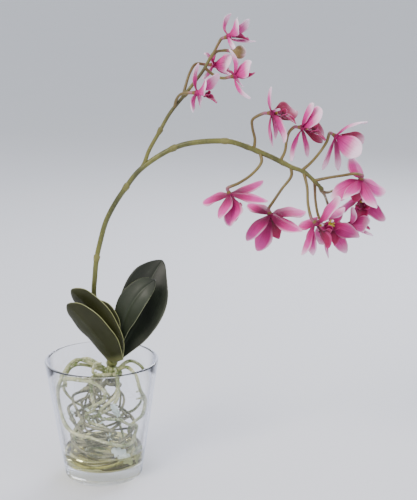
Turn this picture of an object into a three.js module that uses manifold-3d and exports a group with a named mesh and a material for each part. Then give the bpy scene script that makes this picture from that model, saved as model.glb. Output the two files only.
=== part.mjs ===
// Potted orchid: an arching flower spike, strap leaves and bare roots in a clear glass tumbler.
// Millimetres, +Z up. The origin is the centre of the tumbler's flat base. The spike arches
// towards +X and the front of the plant faces -Y.
import * as THREE from 'three';
import { mergeVertices } from 'three/addons/utils/BufferGeometryUtils.js';
import Module from 'manifold-3d';

const wasm = await Module();
wasm.setup();

// ---------------------------------------------------------------- driving dimensions
const seatGap = 0.3;          // clearance between two pieces that touch
const petalEdge = 0.6;        // thickness of a sepal, petal or lip at its edge
const petalCore = 0.9;        // and along its middle
const leafEdge = 1.1;         // thickness of a leaf at its edge
const leafCore = 2.2;         // and along its middle

const tumbler = {
  height: 92, rimRadius: 43.3, footRadius: 29.5, wall: 2.5, floor: 10.5,
  rimRound: 1.2, footRound: 1.6, facets: 38,
};
const waterLevel = 20.5;

const stalkRadius = { spike: 1.9, spikeTip: 1.6, branch: 1.35, pedicel: 1.15 };
const rootRadius = 1.35;
const rootKnot = { radius: 8, squash: 0.75, height: 79.5 };

const crown = { at: [8, 1, 86], height: 21, radius: 4.5, facets: 10 };

// Tepals of a full-size bloom: three sepals and two broader petals.
const tepals = [
  { name: 'dorsal', length: 28, width: 11.5, kind: 'sepal' },
  { name: 'left', length: 27, width: 11.5, kind: 'sepal' },
  { name: 'right', length: 27, width: 11.5, kind: 'sepal' },
  { name: 'leftPetal', length: 26, width: 16.5, kind: 'petal' },
  { name: 'rightPetal', length: 26, width: 16.5, kind: 'petal' },
];

const tepalRoot = 1.7;        // how far from the axis a tepal starts

// Share of the full half width at each share of the length.
const outlines = {
  sepal: [[0, 0.26], [0.26, 0.8], [0.52, 1], [0.8, 0.72], [1, 0.1]],
  petal: [[0, 0.15], [0.24, 0.68], [0.52, 1], [0.8, 0.84], [1, 0.12]],
  lip: [[0, 0.28], [0.3, 0.52], [0.6, 1], [1, 0.16]],
  sideLobe: [[0, 0.6], [1, 0.8]],
  clasp: [[0, 0.62], [0.14, 0.8], [0.3, 0.95], [0.48, 1], [0.66, 0.92], [0.82, 0.74], [0.93, 0.5], [1, 0.14]],
  pointed: [
    [0, 0.24], [0.14, 0.42], [0.3, 0.76], [0.48, 1], [0.66, 0.99], [0.82, 0.78], [0.93, 0.46], [1, 0.08],
  ],
  broad: [[0, 0.24], [0.14, 0.42], [0.3, 0.76], [0.48, 1], [0.66, 1], [0.82, 0.76], [0.93, 0.4], [1, 0.08]],
  spoon: [
    [0, 0.22], [0.14, 0.32], [0.3, 0.58], [0.48, 0.9], [0.66, 1], [0.82, 0.82], [0.93, 0.48], [1, 0.08],
  ],
};

const hub = { back: 3.6, reach: 1.9, radius: 2.6, neck: 1.25, front: 1.5, facets: 7 };
const column = { length: 5.5, radius: 1.25 };
const lipSize = { length: 18, width: 11, hang: [270, 82, 48], wing: 6.6 };

// Blooms: centre, heading (0 faces -Y, 90 faces +X), nod above the level, roll and size. Each
// tepal has its angle round the bloom, how far it leans forward at its base and at its tip, and
// any twist. A lean is in degrees, and so is a twist. Slim is how wide its sepals are, against
// those of a full bloom, and lip has the lip's angle and leans where they aren't the usual ones.
// The stalk is the route of the stem that carries the bloom.
const blooms = [
  { name: 'a', at: [126.4, -8, 279], heading: 88, nod: 1, roll: -12, size: 0.94, slim: 0.85,
    dorsal: [120, -18, 18, 10], left: [271, -17, 24, 10], right: [296, 12, 4, 26],
    leftPetal: [218, 28, 12, -10], rightPetal: [345, 44, 48, -60],
    stalk: [[114, 0, 251.4], [114.6, -1, 259], [112.6, -4, 268], [112.6, -6, 274]] },
  { name: 'b', at: [148.7, -5, 268.2], heading: 84, nod: -5, roll: -12, size: 0.94, slim: 0.85,
    dorsal: [119, 0, 31, 27], left: [263, -36, 13, -39], right: [285, 12, 19, 23],
    leftPetal: [125, 9, 55, 13], rightPetal: [326, 54, 24, -10],
    stalk: [[133, 0, 242.6], [136.5, 0, 250], [137.6, -1, 258], [139.4, -3, 265]] },
  { name: 'c', at: [174.4, 6, 260], heading: 83, nod: -32, roll: -9, size: 0.96, slim: 0.85,
    dorsal: [104, 5, 55, -32], left: [265, 8, 18, 36], right: [276, 34, 44, 34],
    leftPetal: [168, 48, 60], rightPetal: [9, 47, 57],
    stalk: [[148.5, 0, 235.6], [155, -1, 241.5], [161, -4.5, 249.5], [166.5, -1, 257]] },
  { name: 'd', at: [191.3, -9, 230.7], heading: 189, nod: -46, roll: -17, size: 0.96,
    dorsal: [72, 31, 1, 8], left: [241, 8, -16, -20], right: [295, -11, -11, 59],
    leftPetal: [162, 47, 21, -9], rightPetal: [-23, 35, 54, 9],
    stalk: [[158, 0, 228.5], [168, -2, 231], [178, -7, 233.6], [186.5, -12.5, 235.8]] },
  { name: 'e', at: [96.4, -15, 220.9], heading: 126, nod: -63, roll: 20, size: 1,
    dorsal: [116, 16, 11, 14], left: [163, 19, 37], right: [257, 2, 7, 12],
    leftPetal: [244, 35, 7, 30], rightPetal: [3, 0, 20],
    stalk: [[118.5, 0, 249], [119.4, -4, 243], [113, -9, 235.5], [103, -16, 229.8]] },
  { name: 'f', at: [126.6, 2, 202.6], heading: 148, nod: -60, roll: 47, size: 1.06,
    dorsal: [74, -4, 25, 18], left: [241, 24, 1, -16], right: [328, -16, 24, -7],
    leftPetal: [177, 7, 41, -7], rightPetal: [-20, 52, 43, -2], lip: [262, 84, 76],
    stalk: [[141, 0, 238.5], [141.6, 1, 232], [134.5, -1.5, 222.5], [128.6, -5, 214.5]] },
  { name: 'g', at: [158.6, -22, 201.3], heading: 112, nod: -43, roll: 23, size: 1.02,
    dorsal: [94, 32, 32, 29], left: [320, 28, 32, -12], right: [319, 23, 75, -61],
    leftPetal: [146, -28, -2], rightPetal: [20, 2, 17, 28],
    stalk: [[150.5, 0, 234.6], [152.7, -6, 224.8], [152.8, -15, 214.3]] },
  { name: 'h', at: [169.6, 8, 194], heading: 39, nod: 11, roll: 18, size: 0.92,
    dorsal: [39, -9, -18, 22], left: [276, -21, 37, -51], right: [312, 24, 7, 45],
    leftPetal: [228, 24, 24, 30], rightPetal: [-20, 40, 44, -40], lip: [276, 40, 6],
    stalk: [[158.5, 0, 228], [159.3, 4, 221], [160.4, 10, 212], [163, 15, 200]] },
  { name: 'i', at: [189, 26, 190.4], heading: 94, nod: 7, roll: -15, size: 0.78,
    dorsal: [122, 4, 3, 29], left: [272, 51, 63, -3], right: [307, 21, 29, 28],
    leftPetal: [156, 36, 23, -35], rightPetal: [-20, 56, 50, 35],
    stalk: [[161.8, 0, 225.3], [163.6, 3, 220.8], [166.5, 9, 216.9], [170.5, 25, 208], [175, 30, 196]] },
  { name: 'j', at: [197.5, 30, 209.7], heading: -1, nod: -41, roll: 6, size: 0.9,
    dorsal: [87, 25, 24, 20], left: [291, -9, -10, 70], right: [269, 10, 23, -54],
    leftPetal: [157, 46, 34, 17], rightPetal: [331, 27, 33, 23],
    stalk: [[163.6, 2, 220.8], [167.9, 8, 218.2], [175, 20, 217.4], [186, 30, 217.6]] },
  { name: 'k', at: [95.6, 0, 332.5], heading: 80, nod: 16, roll: 13, size: 0.72, slim: 0.75,
    dorsal: [70, -38, 74, -11], left: [218, 0, 35, -37], right: [300, 54, 83, -10],
    leftPetal: [158, 57, 13, 2], rightPetal: [56, 77, 42, 24],
    stalk: [[81.9, 0, 316.7], [85.6, 0, 322.6], [87.4, 0, 326.2]] },
  { name: 'l', at: [99.8, -6, 305.1], heading: 103, nod: 9, roll: -6, size: 0.76, slim: 0.75,
    dorsal: [108, 15, -30, 34], left: [232, -17, 62, -7], right: [321, 28, 27, -22],
    leftPetal: [148, 27, 20, -23], rightPetal: [7, 50, 50], lip: [270, 66, 124],
    stalk: [[78.5, 0, 310.4], [82.5, 2, 306.6], [88, 0.5, 303.6], [92.5, -4, 303.4]] },
  { name: 'm', at: [85, 20, 310.7], heading: 96, nod: -2, roll: -3, size: 0.8, slim: 0.75,
    dorsal: [112, -8, 33, 3], left: [200, -29, -22, -14], right: [151, -17, -31, 26],
    leftPetal: [163, 29, 27, -18], rightPetal: [334, 52, 35, -50],
    stalk: [[62.5, 0, 289.5], [64.5, 4, 297], [67.7, 9, 306.4], [72, 16, 311.8]] },
  { name: 'n', at: [73.2, -12, 293.7], heading: 78, nod: -1, roll: -9, size: 0.74, slim: 0.9,
    dorsal: [87, -28, 38, -22], left: [204, -20, 29, 24], right: [318, 0, -6],
    leftPetal: [138, 44, 10], rightPetal: [49, 53, 33, -13],
    stalk: [[56.5, 0, 282], [58, -3, 288], [61.5, -8, 292.5]] },
];

// A fat bud, half hidden behind the blooms of the side branch.
const bud = {
  at: [99, 6.5, 321.5], heading: 96, nod: -8, roll: 0, length: 9.4, radius: 5, facets: 12,
  stalk: [[82.6, 0, 317.8], [87, 3, 321.6], [91.5, 5.6, 322.2]],
};

// Stems: hand-placed points on the route of each.
const spikeRoute = [
  [7.4, 3.8, 100], [6, 9, 107], [3.5, 11, 112], [-2.6, 10, 125], [-5.2, 6, 139.6], [-3.8, 1.5, 156],
  [-2.1, 0, 169.8], [1.2, 0, 183.8], [5.3, 0, 197.7], [11.9, 0, 210.7], [20.5, 0, 223.5], [29.1, 0, 234.6],
  [39.3, 0, 243.1], [54.3, 0, 251.9], [67.7, 0, 256.1], [83.5, 0, 258.2],
];
const spikeTipRoute = [
  [81, 0, 258], [96, 0, 257.4], [108.6, 0, 253.6], [116.7, 0, 250.4], [126, 0, 246.4],
  [134.8, 0, 242], [141.7, 0, 238.6], [150.5, 0, 235.1], [158.5, 0, 228.1], [164, 0, 222.4],
];
const branchRoute = [
  [32.1, 0, 237.9], [34.2, 0, 241.4], [37.7, 0, 250.6], [45.3, 0, 264.1], [53.2, 0, 277.9],
  [64.3, 0, 291.6], [71.5, 0, 300.9], [77, 0, 308.1], [81.9, 0, 316.7], [84, 0, 320.2],
];

// Dry sheaths round the stems, by the point of the route at which each one sits.
const sheath = { below: 2.6, above: 6, flare: 0.75, facets: 7 };
const sheaths = [
  [spikeRoute, stalkRadius.spike, [6, 10, 13]],
  [branchRoute, stalkRadius.branch, [3, 5]],
];

// Leaves: route of the midrib, where the upper face looks at the base and tip, and the width.
const leaves = [
  { route: [[10, -4.8, 91], [3.3, -9, 105.4], [-4.5, -14, 118.2], [-12.9, -17, 129.6], [-22.5, -18, 140.1]],
    face: [[0.4, 0.8, 0.4], [0.3, 0.9, 0.2]], width: 25, end: 'clasp' },
  { route: [[9.6, -1.6, 93.5], [6.6, -4, 108.5], [0, -5, 121.9], [-9.8, -6.5, 136.9], [-20.6, -7, 148.1]],
    face: [[0.4, 0.8, 0.4], [0.3, 0.9, 0.2]], width: 24, end: 'clasp' },
  { route: [[7.6, 1, 98], [6.6, 1, 108], [4.5, 2, 117], [0.8, 2.5, 127], [-5, 2.5, 137]],
    face: [[0.4, 0.85, 0.3], [0.35, 0.9, 0.2]], width: 21, end: 'pointed' },
  { route: [[8, 1, 90], [16, 7, 98], [25, 14, 112.5], [31.6, 21, 128.5], [36.8, 27, 146],
      [45.6, 32, 160.6]],
    face: [[-0.3, -0.8, 0.5], [-0.2, -0.9, 0.3]], width: 37, end: 'broad' },
  { route: [[9, 1.6, 94], [13, 2.6, 103], [16.6, 4.6, 117], [22.8, 7, 131.9], [31.2, 10, 142.8],
      [40.8, 14, 149.5]],
    face: [[-0.4, -0.7, 0.5], [-0.3, -0.9, 0.3]], width: 22, end: 'spoon' },
];

// Roots: [degrees round the tumbler from its front, share of the inner radius, height].
const rootRoutes = [
  [[-90, 0.44, 91], [-79, 0.55, 90.5], [-65, 0.72, 87], [-58, 0.89, 80], [-70, 0.93, 66], [-70, 0.93, 54],
    [-56, 0.93, 46], [-42, 0.9, 41], [-13, 0.86, 39], [15, 0.85, 34], [40, 0.85, 30], [64, 0.85, 31],
    [74, 0.8, 36]],
  [[-70, 0.1, 88], [-28, 0.28, 88], [-20, 0.38, 85], [10, 0.4, 84], [40, 0.34, 83]],
  [[34, 0.5, 84], [27, 0.8, 82], [22, 0.85, 73], [2, 0.85, 62], [3, 0.85, 56], [28, 0.85, 53], [46, 0.85, 47],
    [68, 0.85, 42], [60, 0.85, 33], [54, 0.84, 24], [30, 0.82, 17], [0, 0.82, 14.5], [-30, 0.82, 13.6],
    [-60, 0.8, 15]],
  [[72, 0.5, 87], [58, 0.8, 84], [58, 0.9, 75], [70, 0.93, 65], [80, 0.93, 57], [70, 0.93, 51],
    [55, 0.86, 47], [62, 0.7, 38], [80, 0.78, 28], [95, 0.84, 20], [122, 0.85, 14.5], [150, 0.84, 14]],
  [[-105, 0.5, 85], [-80, 0.82, 79], [-60, 0.84, 79.5], [-49, 0.82, 82], [-20, 0.8, 84], [-5, 0.8, 83],
    [7, 0.8, 77], [8, 0.8, 71], [-4, 0.8, 66], [-18, 0.74, 62]],
  [[-22, 0.45, 82], [-16, 0.6, 77], [-15, 0.6, 69], [-12, 0.6, 59], [-31, 0.6, 54], [-21, 0.6, 48],
    [4, 0.6, 45], [22, 0.55, 40], [20, 0.45, 32], [-20, 0.5, 26], [-50, 0.66, 19], [-76, 0.76, 16]],
  [[-140, 0.55, 86], [-130, 0.86, 78], [-110, 0.92, 66], [-125, 0.92, 52], [-150, 0.9, 40], [-130, 0.88, 28],
    [-105, 0.86, 19], [-84, 0.84, 14.5]],
  [[118, 0.6, 86], [112, 0.84, 80], [130, 0.92, 68], [112, 0.92, 56], [128, 0.9, 44], [158, 0.88, 34],
    [140, 0.7, 25], [100, 0.5, 22.5], [40, 0.5, 24]],
  [[172, 0.5, 82], [178, 0.84, 72], [-165, 0.9, 60], [175, 0.9, 50], [-172, 0.8, 38], [-120, 0.6, 32],
    [-60, 0.62, 34], [-30, 0.7, 30], [10, 0.66, 27]],
  [[80, 0.35, 66], [30, 0.4, 57], [-30, 0.45, 50], [-90, 0.5, 42], [-80, 0.7, 34], [-50, 0.8, 33]],
];

// ---------------------------------------------------------------- solids
const vec = ([x, y, z]) => new THREE.Vector3(x, y, z);
const radians = THREE.MathUtils.degToRad;

// A closed solid from a geometry, with its shared vertices merged.
function solidOf(geometry) {
  const bare = geometry.clone();
  bare.deleteAttribute('normal');
  bare.deleteAttribute('uv');
  const merged = mergeVertices(bare, 1e-4);
  return new wasm.Manifold(new wasm.Mesh({
    numProp: 3,
    vertProperties: new Float32Array(merged.attributes.position.array),
    triVerts: new Uint32Array(merged.index.array),
  }));
}

function geometryOf(solid) {
  const { vertProperties, triVerts } = solid.getMesh();
  const geometry = new THREE.BufferGeometry();
  geometry.setAttribute('position', new THREE.BufferAttribute(vertProperties, 3));
  geometry.setIndex(new THREE.BufferAttribute(triVerts, 1));
  return geometry;
}

const fuse = (solids) => solids.reduce((whole, solid) => whole.add(solid));
const larger = (one, other) => (other.volume() > one.volume() ? other : one);
const largest = (solid) => solid.decompose().reduce(larger);

// A tube with flat ends along a smooth curve through the points.
function tube(points, radius, sides, step) {
  const path = new THREE.CatmullRomCurve3(points);
  const section = Array.from({ length: sides }, (_, i) => {
    const turn = (2 * Math.PI * i) / sides;
    return new THREE.Vector2(radius * Math.cos(turn), radius * Math.sin(turn));
  });
  const steps = Math.max(2, Math.round(path.getLength() / step));
  return solidOf(new THREE.ExtrudeGeometry(new THREE.Shape(section), { steps, extrudePath: path }));
}

// A turned solid round an axis, from [radius, height] pairs.
const turned = (profile, facets) => solidOf(
  new THREE.LatheGeometry(profile.map(([r, h]) => new THREE.Vector2(r, h)), facets));

// A closed blade. Each station has its centre, the way across it, the way its upper face
// looks, its half width and how far its edges rise. Both faces are split along the same lines.
function blade(stations, sides, edge, core) {
  const positions = [];
  const triangles = [];
  const columns = sides.length;
  stations.forEach(({ centre, across, face, half, cup }) => {
    [1, -1].forEach((skin) => sides.forEach((side) => {
      const thickness = edge + (core - edge) * (1 - side * side);
      const rise = cup * half * side * side + (skin * thickness) / 2;
      const point = centre.clone().addScaledVector(across, half * side).addScaledVector(face, rise);
      positions.push(...point.toArray());
    }));
  });
  const at = (station, column, under) => station * 2 * columns + under * columns + column;
  const quad = (a, b, c, d) => triangles.push(a, c, b, a, d, c);
  for (let s = 0; s + 1 < stations.length; s += 1) {
    for (let c = 0; c + 1 < columns; c += 1) {
      quad(at(s, c, 0), at(s, c + 1, 0), at(s + 1, c + 1, 0), at(s + 1, c, 0));
      triangles.push(at(s, c, 1), at(s, c + 1, 1), at(s + 1, c + 1, 1));
      triangles.push(at(s, c, 1), at(s + 1, c + 1, 1), at(s + 1, c, 1));
    }
    quad(at(s, 0, 1), at(s, 0, 0), at(s + 1, 0, 0), at(s + 1, 0, 1));
    quad(at(s, columns - 1, 0), at(s, columns - 1, 1), at(s + 1, columns - 1, 1), at(s + 1, columns - 1, 0));
  }
  const last = stations.length - 1;
  for (let c = 0; c + 1 < columns; c += 1) {
    quad(at(0, c, 0), at(0, c, 1), at(0, c + 1, 1), at(0, c + 1, 0));
    quad(at(last, c, 1), at(last, c, 0), at(last, c + 1, 0), at(last, c + 1, 1));
  }
  const geometry = new THREE.BufferGeometry();
  geometry.setAttribute('position', new THREE.Float32BufferAttribute(positions, 3));
  geometry.setIndex(triangles);
  return solidOf(geometry);
}

// ---------------------------------------------------------------- blooms
// A tepal or lobe in the bloom's own frame: it faces -Y, with +Z up. It runs from its start at
// its angle round the bloom and leans forward, by the first lean at its base and the second at
// its tip, while its face turns about its middle line by the twist at base and tip.
const ahead = new THREE.Vector3(0, -1, 0);

function lobeLine({ angle, start, length, lean }) {
  const out = new THREE.Vector3(Math.cos(radians(angle)), 0, Math.sin(radians(angle)));
  const slopeAt = (share) => radians(lean[0] + (lean[1] - lean[0]) * share);
  const pointAt = (share) => {
    const steps = 12;
    const point = start.clone();
    for (let i = 0; i < steps; i += 1) {
      const slope = slopeAt((share * (i + 0.5)) / steps);
      const stride = (share * length) / steps;
      point.addScaledVector(out, Math.cos(slope) * stride).addScaledVector(ahead, Math.sin(slope) * stride);
    }
    return point;
  };
  return { out, slopeAt, pointAt };
}

function lobe({ angle, start, length, width, lean, outline, cup, twist = [0, 0], grow = 0 }) {
  const { out, slopeAt, pointAt } = lobeLine({ angle, start, length, lean });
  const side = out.clone().cross(ahead).negate();
  const stations = outlines[outline].map(([share, half]) => {
    const slope = slopeAt(share);
    const along = out.clone().multiplyScalar(Math.cos(slope)).addScaledVector(ahead, Math.sin(slope));
    const face = ahead.clone().multiplyScalar(Math.cos(slope)).addScaledVector(out, -Math.sin(slope));
    const turn = radians(twist[0] + (twist[1] - twist[0]) * share);
    return {
      centre: pointAt(share).addScaledVector(along, grow * (2 * share - 1)),
      across: side.clone().applyAxisAngle(along, turn),
      face: face.applyAxisAngle(along, turn),
      half: (half * width) / 2 + grow,
      cup,
    };
  });
  return blade(stations, [-1, 0, 1], petalEdge + 2 * grow, petalCore + 2 * grow);
}

// The receptacle, turned round the bloom's own Y axis.
const hubSolid = () => turned([
  [0, -hub.front], [hub.radius * 0.7, -hub.front], [hub.radius, 0.4], [hub.neck, hub.back], [0, hub.back],
], hub.facets);

function columnSolid() {
  const stub = new THREE.CylinderGeometry(column.radius, column.radius * 0.8, column.length, 5);
  stub.translate(0, -column.length / 2, 0).rotateX(radians(-14)).translate(0, 0.2, 1.2);
  return solidOf(stub);
}

function perianth(bloom) {
  const { size, slim = 1 } = bloom;
  const pieces = tepals.map(({ name, length, width, kind }) => {
    const [angle, leanBase, leanTip, twist = 0] = bloom[name];
    const out = radians(angle);
    const layer = kind === 'petal' ? -0.5 : 0.7;
    return lobe({
      angle,
      lean: [leanBase, leanTip],
      twist: [0, twist],
      start: new THREE.Vector3(tepalRoot * Math.cos(out), layer, tepalRoot * Math.sin(out)),
      length: length * size,
      width: width * size * (kind === 'sepal' ? slim : 1),
      outline: kind,
      cup: kind === 'petal' ? 0.16 : 0.28,
    });
  });
  return largest(fuse([hubSolid(), columnSolid(), ...pieces]).subtract(lip(bloom, seatGap)));
}

// The lip: a claw that starts in front of the receptacle, a broad middle lobe, and two side
// lobes that stand up beside the column.
function lip(bloom, grow = 0) {
  const { size } = bloom;
  const [angle, ...lean] = bloom.lip ?? lipSize.hang;
  const claw = {
    angle,
    start: new THREE.Vector3(0, -hub.front - seatGap - 0.05, -1.2),
    length: lipSize.length * size,
    lean,
  };
  const middle = lobe({ ...claw, width: lipSize.width * size, outline: 'lip', cup: 0.35, grow });
  const wings = [-1, 1].map((side) => lobe({
    angle: 90 - 50 * side,
    start: lobeLine(claw).pointAt(0.3).setX(1.4 * side),
    length: lipSize.wing * size,
    width: lipSize.wing * size,
    lean: [30, 30],
    outline: 'sideLobe',
    cup: 0,
    grow,
    twist: [70 * side, 70 * side],
  }));
  return fuse([middle, ...wings]);
}

// ---------------------------------------------------------------- plant
const crownProfile = (grow = 0) => [
  [0, -grow], [crown.radius * 0.6 + grow, -grow], [crown.radius + grow, crown.height * 0.35],
  [crown.radius * 0.75 + grow, crown.height * 0.8], [crown.radius * 0.3 + grow, crown.height + grow],
  [0, crown.height + grow],
];

const crownSolid = (grow = 0) => turned(crownProfile(grow), crown.facets)
  .rotate([90, 0, 0]).translate(crown.at);

// Where a bloom's stalk comes in: straight behind the receptacle.
function behind(bloom, distance) {
  const turn = new THREE.Euler(radians(-bloom.nod), radians(bloom.roll), radians(bloom.heading), 'ZXY');
  return new THREE.Vector3(0, distance, 0).applyEuler(turn).add(vec(bloom.at));
}

// The bud, turned about its own Y axis like a receptacle.
const budSolid = () => turned([
  [0, -bud.length], [bud.radius * 0.5, -bud.length * 0.93], [bud.radius * 0.9, -bud.length * 0.7],
  [bud.radius, -bud.length * 0.42], [bud.radius * 0.84, -bud.length * 0.08], [hub.neck, hub.back * 0.6],
  [hub.neck, hub.back], [0, hub.back],
], bud.facets);

function sheathSolid(route, index, radius) {
  const after = Math.min(index + 1, route.length - 1);
  const along = vec(route[after]).sub(vec(route[index - 1])).normalize();
  const turn = new THREE.Quaternion().setFromUnitVectors(new THREE.Vector3(0, 1, 0), along);
  const seat = new THREE.Matrix4().compose(vec(route[index]), turn, new THREE.Vector3(1, 1, 1));
  return turned([
    [0, -sheath.below], [radius + sheath.flare, -sheath.below * 0.3], [0, sheath.above],
  ], sheath.facets).transform(seat.elements);
}

function flowerSpike() {
  const { spike, spikeTip, branch, pedicel } = stalkRadius;
  const stalks = [...blooms, bud].map((bloom) => tube(
    [...bloom.stalk.map(vec), behind(bloom, hub.back + hub.reach), behind(bloom, hub.back + seatGap)],
    pedicel, 5, 8));
  const stems = fuse([
    tube(spikeRoute.map(vec), spike, 7, 9),
    tube(spikeTipRoute.map(vec), spikeTip, 7, 6),
    tube(branchRoute.map(vec), branch, 6, 8),
    ...stalks,
    ...sheaths.flatMap(([route, radius, places]) => places.map((index) => sheathSolid(route, index, radius))),
  ]);
  return largest(stems.subtract(crownSolid(seatGap)));
}

function leaf({ route, face, width, end }) {
  const path = new THREE.CatmullRomCurve3(route.map(vec));
  const stations = outlines[end].map(([share, half]) => {
    const along = path.getTangentAt(share);
    const up = vec(face[0]).lerp(vec(face[1]), share);
    const across = up.clone().cross(along).normalize();
    return {
      centre: path.getPointAt(share),
      across,
      face: along.clone().cross(across),
      half: (half * width) / 2,
      cup: 0.22,
    };
  });
  return largest(blade(stations, [-1, -0.5, 0, 0.5, 1], leafEdge, leafCore).subtract(crownSolid(seatGap)));
}

const innerRadius = (z) => {
  const taper = (tumbler.rimRadius - tumbler.footRadius) / tumbler.height;
  return tumbler.footRadius - tumbler.wall + taper * z;
};

const onWall = ([around, share, z]) => {
  const reach = share * innerRadius(z);
  return new THREE.Vector3(reach * Math.sin(radians(around)), -reach * Math.cos(radians(around)), z);
};

const knotCentre = [crown.at[0], crown.at[1], rootKnot.height];
const rootPaths = rootRoutes.map((route) => [vec(knotCentre), ...route.map(onWall)]);
const rootSolids = (grow = 0) => rootPaths.map((points) => tube(points, rootRadius + grow, 5, 8.2));

function roots() {
  const knot = new THREE.SphereGeometry(rootKnot.radius, 8, 6);
  knot.scale(1, 1, rootKnot.squash).translate(...knotCentre);
  return fuse([solidOf(knot), ...rootSolids()]);
}

// ---------------------------------------------------------------- glass and water
function glass() {
  const { height, rimRadius, footRadius, wall, floor, rimRound, footRound, facets } = tumbler;
  const taper = (rimRadius - footRadius) / height;
  return turned([
    [0, 0], [footRadius - footRound, 0], [footRadius - footRound * 0.3, footRound * 0.3],
    [footRadius + taper * footRound, footRound], [rimRadius - taper * rimRound, height - rimRound],
    [rimRadius - wall * 0.25, height - rimRound * 0.15], [rimRadius - wall * 0.75, height - rimRound * 0.15],
    [rimRadius - wall, height - rimRound], [innerRadius(floor + 3), floor + 3],
    [innerRadius(floor) - 2.5, floor + 0.4], [0, floor],
  ], facets).rotate([90, 0, 0]);
}

function water() {
  const low = tumbler.floor + seatGap;
  const body = turned([
    [0, low], [innerRadius(low) - 2.5 - seatGap, low + 0.4], [innerRadius(low + 3) - seatGap, low + 3],
    [innerRadius(waterLevel) - seatGap, waterLevel], [0, waterLevel],
  ], tumbler.facets).rotate([90, 0, 0]);
  const ends = rootPaths.map((points) => {
    const clear = new THREE.SphereGeometry(rootRadius + 0.8, 5, 3);
    return solidOf(clear.translate(...points[points.length - 1].toArray()));
  });
  return largest([...rootSolids(0.5), ...ends].reduce((left, root) => left.subtract(root), body));
}

// ---------------------------------------------------------------- scene
const orchid = new THREE.Group();

function finish(color, roughness, more = {}) {
  return new THREE.MeshStandardMaterial({ color, roughness, metalness: 0, ...more });
}

function place(name, solid, material, parent = orchid) {
  const mesh = new THREE.Mesh(geometryOf(solid), material);
  mesh.name = name;
  parent.add(mesh);
  return mesh;
}

place('glass', glass(), finish('#dfe4ee', 0.05, { transparent: true, opacity: 0.3 }));
place('water', water(), finish('#a39a4a', 0.05, { transparent: true, opacity: 0.5 }));
place('roots', roots(), finish('#c9c9a8', 0.6));
place('crown', crownSolid(), finish('#7f8a4e', 0.55));
place('flower_spike', flowerSpike(), finish('#6f7433', 0.5));
leaves.forEach((one, i) => place(`leaf_${i + 1}`, leaf(one), finish('#3c4a2a', 0.45)));

function turnedGroup({ at, heading, nod, roll }) {
  const group = new THREE.Group();
  group.position.set(...at);
  group.rotation.set(radians(-nod), radians(roll), radians(heading), 'ZXY');
  orchid.add(group);
  return group;
}

place('bud', budSolid(), finish('#8a7a4c', 0.6), turnedGroup(bud));
blooms.forEach((bloom) => {
  const group = turnedGroup(bloom);
  place(`bloom_${bloom.name}`, perianth(bloom), finish('#d9609c', 0.55), group);
  place(`lip_${bloom.name}`, lip(bloom), finish('#a01c50', 0.5), group);
});

export default orchid;
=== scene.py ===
import math
import random

import bpy
from mathutils import Matrix, Vector


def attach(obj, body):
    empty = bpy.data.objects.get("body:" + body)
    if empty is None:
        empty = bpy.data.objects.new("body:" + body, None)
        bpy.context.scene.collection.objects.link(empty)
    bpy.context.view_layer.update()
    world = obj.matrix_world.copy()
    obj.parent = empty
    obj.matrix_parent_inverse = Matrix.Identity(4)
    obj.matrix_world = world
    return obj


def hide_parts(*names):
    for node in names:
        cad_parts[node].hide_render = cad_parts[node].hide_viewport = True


# Potted orchid: pink blooms on an arching spike, strap leaves, bare roots in a clear tumbler of water.
# The plant's own places are millimetres in the part's frame, and every mesh is made in metres. The
# floor, camera and lamps are placed in metres.
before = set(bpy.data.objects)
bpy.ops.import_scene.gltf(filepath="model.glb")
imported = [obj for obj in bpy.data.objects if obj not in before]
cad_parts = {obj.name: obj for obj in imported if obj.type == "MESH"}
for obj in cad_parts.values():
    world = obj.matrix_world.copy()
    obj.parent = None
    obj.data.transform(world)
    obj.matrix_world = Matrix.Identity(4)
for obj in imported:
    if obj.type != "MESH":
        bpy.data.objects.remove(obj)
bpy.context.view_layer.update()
mm = 0.001
chance = random.Random(14)
print("frame loaded")


# Shader maths
class Wire:  # a socket that can be used in an expression
    def __init__(self, finish, socket):
        self.finish = finish
        self.socket = socket

    def join(self, operation, first, second=0.0):
        return self.finish.node("ShaderNodeMath", {"operation": operation}, {0: first, 1: second})

    def __add__(self, other):
        return self.join("ADD", self, other)

    def __radd__(self, other):
        return self.join("ADD", other, self)

    def __sub__(self, other):
        return self.join("SUBTRACT", self, other)

    def __rsub__(self, other):
        return self.join("SUBTRACT", other, self)

    def __mul__(self, other):
        return self.join("MULTIPLY", self, other)

    def __rmul__(self, other):
        return self.join("MULTIPLY", other, self)

    def __abs__(self):
        return self.join("ABSOLUTE", self)


def colour(code):  # linear colour from a #rrggbb code
    parts = [int(code[i:i + 2], 16) / 255 for i in (1, 3, 5)]
    return tuple(p / 12.92 if p <= 0.04045 else ((p + 0.055) / 1.055) ** 2.4 for p in parts) + (1.0,)


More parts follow.
